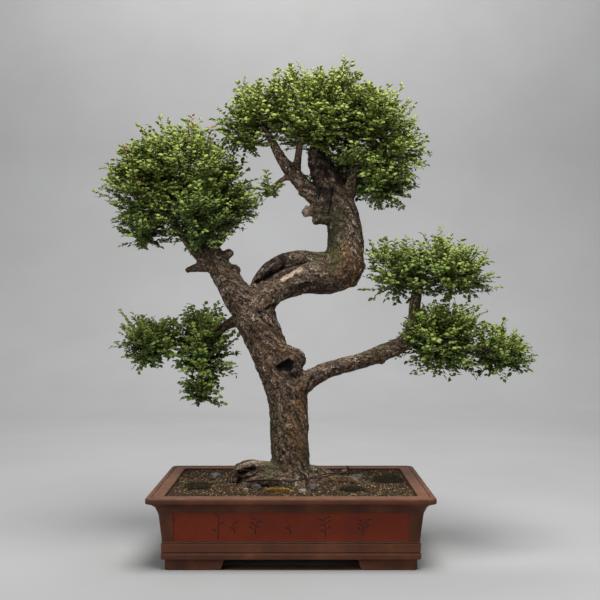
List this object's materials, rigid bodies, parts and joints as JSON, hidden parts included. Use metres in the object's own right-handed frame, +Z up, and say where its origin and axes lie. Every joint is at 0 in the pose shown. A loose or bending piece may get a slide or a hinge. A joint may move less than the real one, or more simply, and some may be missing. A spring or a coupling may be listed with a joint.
{
  "type": "bonsai tree in a pot",
  "caption": "Gnarled small-leaved bonsai with layered leaf pads, mossy surface roots and soil, in a footed rectangular stoneware pot.",
  "frame": {"origin": "under the middle of the whole object, on the surface that it stands on", "axes": "+Z up, +X to the right along the long side of the pot, the front faces -Y"},
  "size_m": [0.9592, 0.42, 1.0953],
  "materials": {
    "fired_clay": "unglazed reddish brown stoneware, smooth and matt with a faint polish on its edges",
    "soil": "loose granular akadama and lava grit with leaf litter",
    "bark": "rough grey-brown elm bark, furrowed and flecked, with bare grey deadwood",
    "leaves": "small serrate elm leaves, mid to yellow green with a soft waxy sheen",
    "moss": "short dense green moss",
    "golden_moss": "short dense moss, golden yellow",
    "stone": "rounded weathered grey stone",
    "pale_stone": "rounded pale blue-grey pebble",
    "screen_plastic": "black moulded drainage mesh",
    "clip_wire": "bare bent aluminium wire",
    "tie_wire": "brown anodised aluminium bonsai wire"
  },
  "bodies": {
    "root": {"drain_screen_1": "screen_plastic", "drain_screen_2": "screen_plastic", "leaves_crown_back": "leaves", "leaves_crown_left": "leaves", "leaves_crown_low_right": "leaves", "leaves_crown_right": "leaves", "leaves_crown_top": "leaves", "leaves_left_back": "leaves", "leaves_left_hanging": "leaves", "leaves_left_low": "leaves", "leaves_left_outer": "leaves", "leaves_left_top": "leaves", "leaves_low_left": "leaves", "leaves_low_left_drop": "leaves", "leaves_low_left_tip": "leaves", "leaves_right_inner": "leaves", "leaves_right_low": "leaves", "leaves_right_outer": "leaves", "leaves_right_tip": "leaves", "leaves_sprig": "leaves", "moss_back": "moss", "moss_front_right": "moss", "moss_golden": "golden_moss", "moss_left": "moss", "moss_right": "moss", "pebble_back": "pale_stone", "pebble_white": "pale_stone", "pot": "fired_clay", "screen_clip_1": "clip_wire", "screen_clip_2": "clip_wire", "soil": "soil", "stone_dark": "stone", "stone_grey": "stone", "stone_left": "stone", "stone_pale": "pale_stone", "stone_right": "stone", "tie_wire": "tie_wire", "tree_wood": "bark"}
  },
  "joints": []
}
